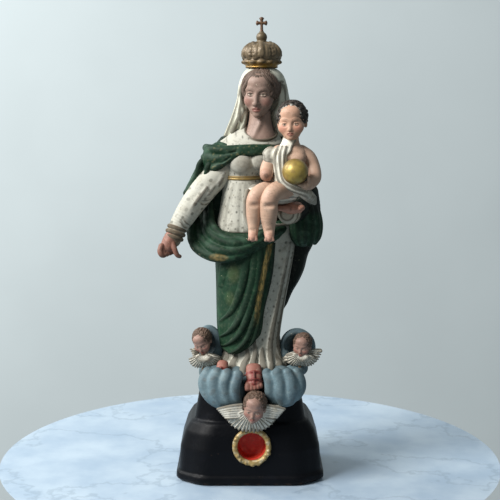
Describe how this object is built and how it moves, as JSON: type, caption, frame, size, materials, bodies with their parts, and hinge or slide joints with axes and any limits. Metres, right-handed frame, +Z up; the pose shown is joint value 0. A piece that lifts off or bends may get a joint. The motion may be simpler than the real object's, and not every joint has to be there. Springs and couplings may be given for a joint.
{
  "type": "madonna statue",
  "caption": "Crowned mother and child figure in painted carved wood, standing on a cloud with winged cherub heads, on a dark stepped pedestal with a round relic recess.",
  "frame": {"origin": "centre of the pedestal's underside, on the surface it stands on", "axes": "+Z up, the figure faces -Y, +X to the viewer's right (the figure's own left)"},
  "size_m": [0.1424, 0.124, 0.4],
  "materials": {
    "pedestal_black": "black paint, semi-gloss, chipped to brown at the edges",
    "relic_red": "red paint, worn",
    "gilding": "worn water gilding over gesso",
    "cloud_blue": "blue-grey paint, chalky and worn",
    "flesh": "flesh paint, aged",
    "hair_brown": "brown paint, worn",
    "hair_dark": "dark paint with pale chips",
    "feather_white": "white paint, worn",
    "tunic_white": "white paint with a small grey dot pattern, chalky",
    "veil_cream": "cream paint, worn and soiled",
    "mantle_green": "dark green paint with chips and a gold edge",
    "mantle_dark": "very dark green paint",
    "cuff_brown": "brown and gold painted rings",
    "sandal_red": "flesh paint with red straps",
    "crown_metal": "aged gilt brass",
    "pin_steel": "plain drawn wire",
    "dowel_wood": "bare turned wood"
  },
  "bodies": {
    "statue": {"pedestal_plinth": "pedestal_black", "pedestal_die": "pedestal_black", "pedestal_neck": "pedestal_black", "relic_lining": "relic_red", "relic_rim": "gilding", "cloud_top": "cloud_blue", "cloud_lobe_right": "cloud_blue", "cloud_lobe_left": "cloud_blue", "cloud_hood_right": "cloud_blue", "cloud_hood_left": "cloud_blue", "cherub_head_front": "flesh", "cherub_head_right": "flesh", "cherub_head_left": "flesh", "cherub_wings_front": "feather_white", "cherub_wings_right": "feather_white", "cherub_wings_left": "feather_white", "tunic_skirt": "tunic_white", "tunic_bodice": "tunic_white", "belt": "gilding", "right_sleeve": "tunic_white", "left_sleeve": "mantle_green", "right_cuff": "cuff_brown", "left_cuff": "cuff_brown", "right_hand": "flesh", "left_hand": "flesh", "right_foot": "sandal_red", "left_foot": "sandal_red", "mantle_apron": "mantle_green", "mantle_swag": "mantle_green", "mantle_shoulders": "mantle_green", "mantle_cape_right": "mantle_green", "mantle_fall_left": "mantle_green", "mantle_back": "mantle_dark", "yoke": "tunic_white", "mother_neck": "flesh", "mother_head": "flesh", "mother_hair": "hair_brown", "veil": "veil_cream", "figure_dowels": "dowel_wood", "wrist_dowel": "dowel_wood", "left_hand_dowel": "dowel_wood", "cherub_dowels": "dowel_wood"},
    "crown_pin": {"crown_pin": "pin_steel"},
    "crown": {"crown_band": "crown_metal", "crown_dome": "crown_metal", "crown_ribs": "crown_metal", "crown_ball": "crown_metal", "crown_cross": "crown_metal", "crown_floor": "crown_metal"},
    "child": {"child_torso": "flesh", "child_head": "flesh", "child_hair": "hair_dark", "child_right_arm": "flesh", "child_left_arm": "flesh", "child_right_leg": "flesh", "child_left_leg": "flesh", "child_cloth": "veil_cream", "orb": "gilding", "child_peg": "dowel_wood", "orb_pin": "dowel_wood"}
  },
  "joints": [
    {"name": "crown_lift", "type": "slide", "parent": "statue", "child": "crown_pin", "axis": [0, 0, 1], "range_m": [0, 0.026]},
    {"name": "crown_turn", "type": "hinge", "parent": "crown_pin", "child": "crown", "pos_m": [0.01, 0.001, 0.364], "axis": [0, 0, 1], "continuous": true},
    {"name": "child_lift", "type": "slide", "parent": "statue", "child": "child", "axis": [0.15, -0.5, 0.853], "range_m": [0, 0.018]}
  ]
}
